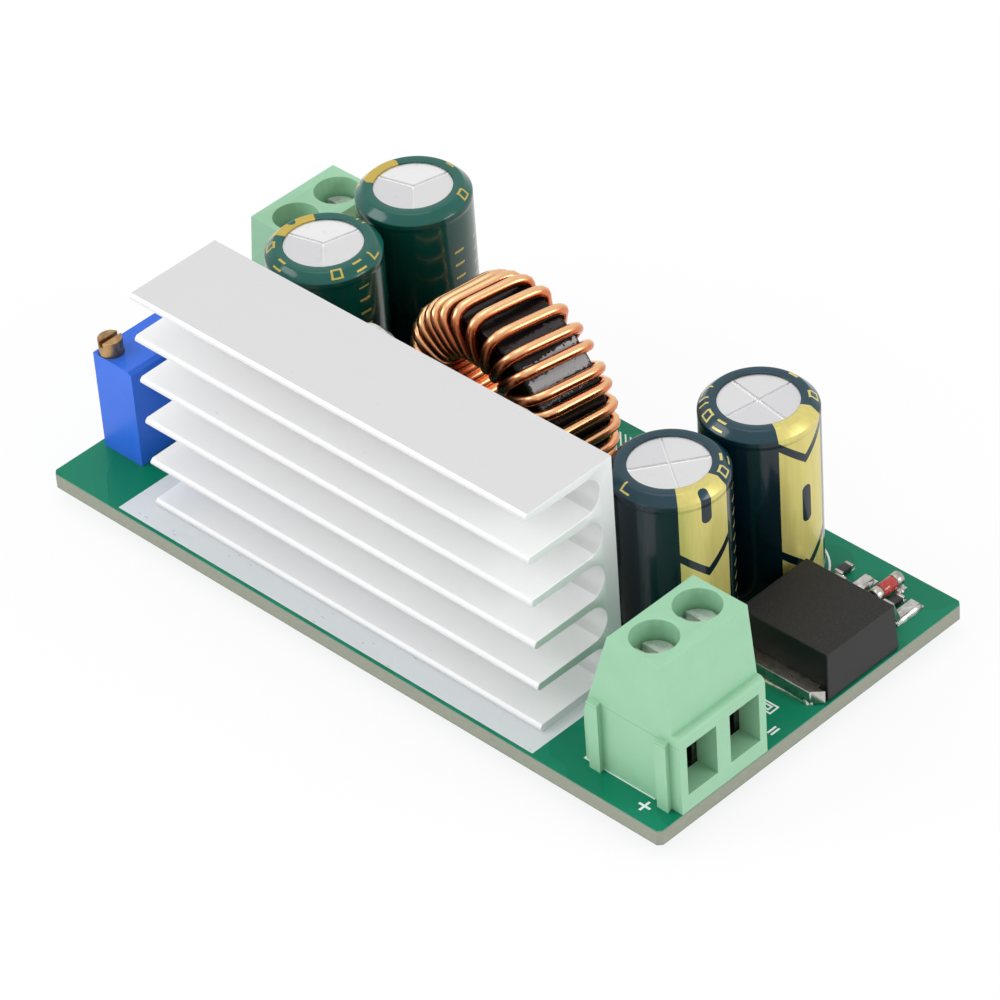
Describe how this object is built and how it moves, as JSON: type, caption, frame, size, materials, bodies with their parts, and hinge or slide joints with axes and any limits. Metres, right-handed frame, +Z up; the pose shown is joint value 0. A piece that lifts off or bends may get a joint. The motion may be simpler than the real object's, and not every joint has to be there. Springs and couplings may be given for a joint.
{
  "type": "buck converter module",
  "caption": "Small circuit board that steps a DC voltage down, with a finned heatsink, a wound ring choke, round capacitors, screw terminals and a trimmer.",
  "frame": {"origin": "under the middle of the board, in the plane of the solder joints' tips", "axes": "+X along the board from the output end to the input end, +Y across it from the heatsink's side to the capacitors' side, +Z up"},
  "size_m": [0.0724, 0.0374, 0.0258],
  "materials": {
    "board_mask": "glossy green solder mask on glass-fibre board",
    "solder": "bright tin solder",
    "heatsink_metal": "satin bare extrusion",
    "pad_rubber": "matt silicone sheet",
    "package_plastic": "dark moulded epoxy",
    "tinned_metal": "tinned copper",
    "screw_steel": "plated steel",
    "cage_steel": "plated steel",
    "core_coating": "glossy black coating over pressed powder",
    "copper_wire": "clear enamel over copper",
    "input_sleeve": "glossy dark shrink sleeve",
    "output_sleeve": "glossy green shrink sleeve",
    "can_metal": "drawn aluminium",
    "bung_rubber": "matt rubber",
    "terminal_plastic": "light green moulding",
    "trimmer_plastic": "blue moulding",
    "screw_brass": "turned brass",
    "red_glass": "orange-red glass",
    "chip_ceramic": "dark glaze on ceramic"
  },
  "bodies": {
    "module": {"circuit_board": "board_mask", "solder_joints": "solder", "surface_solder": "solder", "heatsink": "heatsink_metal", "thermal_pads": "pad_rubber", "regulator_body": "package_plastic", "rectifier_body": "package_plastic", "transistor_body": "package_plastic", "regulator_tab": "tinned_metal", "rectifier_tab": "tinned_metal", "regulator_leads": "tinned_metal", "rectifier_leads": "tinned_metal", "transistor_slug": "tinned_metal", "transistor_leads": "tinned_metal", "trimmer_pins": "tinned_metal", "diode_ends": "tinned_metal", "chip_resistor_ends": "tinned_metal", "input_terminal_contacts": "tinned_metal", "output_terminal_contacts": "tinned_metal", "input_front_capacitor_leads": "tinned_metal", "input_rear_capacitor_leads": "tinned_metal", "output_front_capacitor_leads": "tinned_metal", "output_rear_capacitor_leads": "tinned_metal", "clamp_screws": "screw_steel", "choke_core": "core_coating", "choke_winding": "copper_wire", "input_front_capacitor_sleeve": "input_sleeve", "input_rear_capacitor_sleeve": "input_sleeve", "output_front_capacitor_sleeve": "output_sleeve", "output_rear_capacitor_sleeve": "output_sleeve", "input_front_capacitor_can": "can_metal", "input_rear_capacitor_can": "can_metal", "output_front_capacitor_can": "can_metal", "output_rear_capacitor_can": "can_metal", "input_front_capacitor_bung": "bung_rubber", "input_rear_capacitor_bung": "bung_rubber", "output_front_capacitor_bung": "bung_rubber", "output_rear_capacitor_bung": "bung_rubber", "input_terminal_housing": "terminal_plastic", "output_terminal_housing": "terminal_plastic", "trimmer_case": "trimmer_plastic", "diode_glass": "red_glass", "chip_resistor_bodies": "chip_ceramic"},
    "input_clamp_screw_1": {"input_clamp_screw_1": "screw_steel"},
    "input_cage_1": {"input_cage_1": "cage_steel"},
    "input_clamp_screw_2": {"input_clamp_screw_2": "screw_steel"},
    "input_cage_2": {"input_cage_2": "cage_steel"},
    "output_clamp_screw_1": {"output_clamp_screw_1": "screw_steel"},
    "output_cage_1": {"output_cage_1": "cage_steel"},
    "output_clamp_screw_2": {"output_clamp_screw_2": "screw_steel"},
    "output_cage_2": {"output_cage_2": "cage_steel"},
    "trimmer_screw": {"trimmer_screw": "screw_brass"}
  },
  "joints": [
    {"name": "input_clamp_screw_1_turn", "type": "hinge", "parent": "module", "child": "input_clamp_screw_1", "pos_m": [0.03155, -0.01339, 0.01415], "axis": [0, 0, -1], "range_deg": [0, 2160]},
    {"name": "input_cage_1_rise", "type": "slide", "parent": "module", "child": "input_cage_1", "axis": [0, 0, 1], "range_m": [0, 0.003]},
    {"name": "input_clamp_screw_2_turn", "type": "hinge", "parent": "module", "child": "input_clamp_screw_2", "pos_m": [0.03155, -0.00831, 0.01415], "axis": [0, 0, -1], "range_deg": [0, 2160]},
    {"name": "input_cage_2_rise", "type": "slide", "parent": "module", "child": "input_cage_2", "axis": [0, 0, 1], "range_m": [0, 0.003]},
    {"name": "output_clamp_screw_1_turn", "type": "hinge", "parent": "module", "child": "output_clamp_screw_1", "pos_m": [-0.03155, 0.01339, 0.01415], "axis": [0, 0, -1], "range_deg": [0, 2160]},
    {"name": "output_cage_1_rise", "type": "slide", "parent": "module", "child": "output_cage_1", "axis": [0, 0, 1], "range_m": [0, 0.003]},
    {"name": "output_clamp_screw_2_turn", "type": "hinge", "parent": "module", "child": "output_clamp_screw_2", "pos_m": [-0.03155, 0.00831, 0.01415], "axis": [0, 0, -1], "range_deg": [0, 2160]},
    {"name": "output_cage_2_rise", "type": "slide", "parent": "module", "child": "output_cage_2", "axis": [0, 0, 1], "range_m": [0, 0.003]},
    {"name": "trimmer_screw_turn", "type": "hinge", "parent": "module", "child": "trimmer_screw", "pos_m": [-0.03425, -0.01195, 0.01315], "axis": [0, 0, 1], "continuous": true}
  ],
  "couplings": [
    {"joint": "input_clamp_screw_1_turn", "follows": "input_cage_1_rise", "rad_per_m": 12566},
    {"joint": "input_clamp_screw_2_turn", "follows": "input_cage_2_rise", "rad_per_m": 12566},
    {"joint": "output_clamp_screw_1_turn", "follows": "output_cage_1_rise", "rad_per_m": 12566},
    {"joint": "output_clamp_screw_2_turn", "follows": "output_cage_2_rise", "rad_per_m": 12566}
  ]
}
